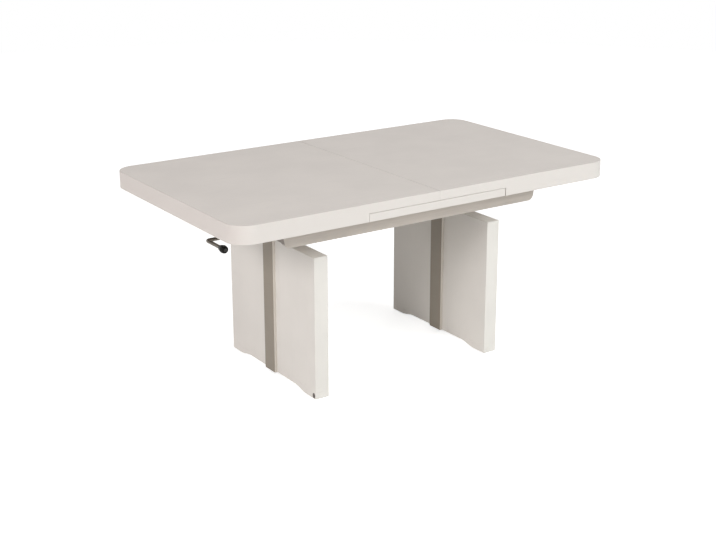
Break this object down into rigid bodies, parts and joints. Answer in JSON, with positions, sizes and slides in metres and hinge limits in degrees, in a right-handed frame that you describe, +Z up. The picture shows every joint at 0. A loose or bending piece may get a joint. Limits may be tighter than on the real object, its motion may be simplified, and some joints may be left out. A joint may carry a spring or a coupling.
{
  "type": "convertible coffee dining table",
  "caption": "Low rectangular table on panel pedestals, raised by a crank to dining height, with a top that parts in the middle and stores a leaf under it.",
  "frame": {"origin": "on the floor under the middle of the top, table at its lowest height", "axes": "+X along the top away from the crank, -Y the front, +Z up"},
  "size_m": [1.2, 0.7, 0.557],
  "materials": {
    "top_laminate": "off-white melamine foil on board, satin",
    "leg_laminate": "off-white melamine foil on board, satin",
    "column_paint": "taupe powder coat, fine texture",
    "frame_foil": "beige foil on board, satin",
    "end_foil": "dark taupe foil on board, satin",
    "frame_timber": "planed beech, unfinished",
    "slide_aluminium": "drawn, anodised",
    "column_steel": "drawn, lightly oiled",
    "zinc_bolts": "zinc plated",
    "gearbox_casting": "die cast, as cast",
    "gear_steel": "sintered, oiled",
    "bush_bronze": "sintered bronze",
    "guide_plastic": "black polyamide, matt",
    "rack_nylon": "white acetal, matt",
    "crank_steel": "burnished dark steel",
    "knob_plastic": "black, moulded"
  },
  "bodies": {
    "base": {"left_column_tube": "column_paint", "right_column_tube": "column_paint", "left_front_wing": "leg_laminate", "left_rear_wing": "leg_laminate", "right_front_wing": "leg_laminate", "right_rear_wing": "leg_laminate", "foot_plates": "column_paint", "left_nut_tube": "column_steel", "right_nut_tube": "column_steel", "left_spindle_nut": "bush_bronze", "right_spindle_nut": "bush_bronze", "left_guide_collar": "guide_plastic", "right_guide_collar": "guide_plastic", "wing_bolts": "zinc_bolts", "floor_glides": "guide_plastic"},
    "lift_frame": {"front_rail": "frame_foil", "rear_rail": "frame_foil", "left_end_rail": "end_foil", "right_end_rail": "end_foil", "left_cross_member": "frame_foil", "right_cross_member": "frame_foil", "centre_member": "frame_timber", "corner_blocks": "frame_timber", "front_guide": "slide_aluminium", "rear_guide": "slide_aluminium", "left_inner_column": "column_steel", "right_inner_column": "column_steel", "guide_shoes": "guide_plastic", "spindle_bearings": "bush_bronze", "left_gearbox_housing": "gearbox_casting", "right_gearbox_housing": "gearbox_casting", "left_gearbox_cover": "gearbox_casting", "right_gearbox_cover": "gearbox_casting", "gearbox_bolts": "zinc_bolts", "shaft_bushes": "bush_bronze", "crank_bracket": "gearbox_casting", "pinion_pin": "column_steel", "rack_keepers": "rack_nylon"},
    "crank": {"drive_shaft": "column_steel", "shaft_coupling": "column_steel", "crank_rod": "crank_steel", "crank_knob": "knob_plastic", "left_drive_gear": "gear_steel", "right_drive_gear": "gear_steel"},
    "left_screw": {"left_spindle": "column_steel", "left_spindle_gear": "gear_steel"},
    "right_screw": {"right_spindle": "column_steel", "right_spindle_gear": "gear_steel"},
    "pinion": {"sync_pinion": "rack_nylon"},
    "right_half": {"right_top_panel": "top_laminate", "right_slide_bars": "slide_aluminium", "right_mount_blocks": "frame_timber", "right_sync_rack": "rack_nylon", "alignment_dowels": "frame_timber"},
    "left_half": {"left_top_panel": "top_laminate", "left_slide_bars": "slide_aluminium", "left_mount_blocks": "frame_timber", "left_sync_rack": "rack_nylon"},
    "leaf": {"leaf_panel": "top_laminate"}
  },
  "joints": [
    {"name": "lift", "type": "slide", "parent": "base", "child": "lift_frame", "axis": [0, 0, 1], "range_m": [0, 0.2]},
    {"name": "crank_turn", "type": "hinge", "parent": "lift_frame", "child": "crank", "pos_m": [-0.287, 0, 0.42], "axis": [1, 0, 0], "range_deg": [0, 14400]},
    {"name": "left_screw_turn", "type": "hinge", "parent": "lift_frame", "child": "left_screw", "pos_m": [-0.287, 0, 0.2], "axis": [0, 0, 1], "range_deg": [-14400, 0]},
    {"name": "right_screw_turn", "type": "hinge", "parent": "lift_frame", "child": "right_screw", "pos_m": [0.287, 0, 0.2], "axis": [0, 0, 1], "range_deg": [-14400, 0]},
    {"name": "halves_part", "type": "slide", "parent": "lift_frame", "child": "right_half", "axis": [1, 0, 0], "range_m": [0, 0.22]},
    {"name": "left_half_slide", "type": "slide", "parent": "lift_frame", "child": "left_half", "axis": [-1, 0, 0], "range_m": [0, 0.22]},
    {"name": "pinion_turn", "type": "hinge", "parent": "lift_frame", "child": "pinion", "pos_m": [0, 0, 0.484], "axis": [0, 0, 1], "range_deg": [0, 631]},
    {"name": "leaf_draw", "type": "slide", "parent": "lift_frame", "child": "leaf", "axis": [0, -1, 0], "range_m": [0, 0.72]}
  ],
  "couplings": [
    {"joint": "crank_turn", "follows": "lift", "rad_per_m": 1256.6},
    {"joint": "left_screw_turn", "follows": "lift", "rad_per_m": -1256.6},
    {"joint": "right_screw_turn", "follows": "lift", "rad_per_m": -1256.6},
    {"joint": "left_half_slide", "follows": "halves_part", "ratio": 1},
    {"joint": "pinion_turn", "follows": "halves_part", "rad_per_m": 50}
  ]
}
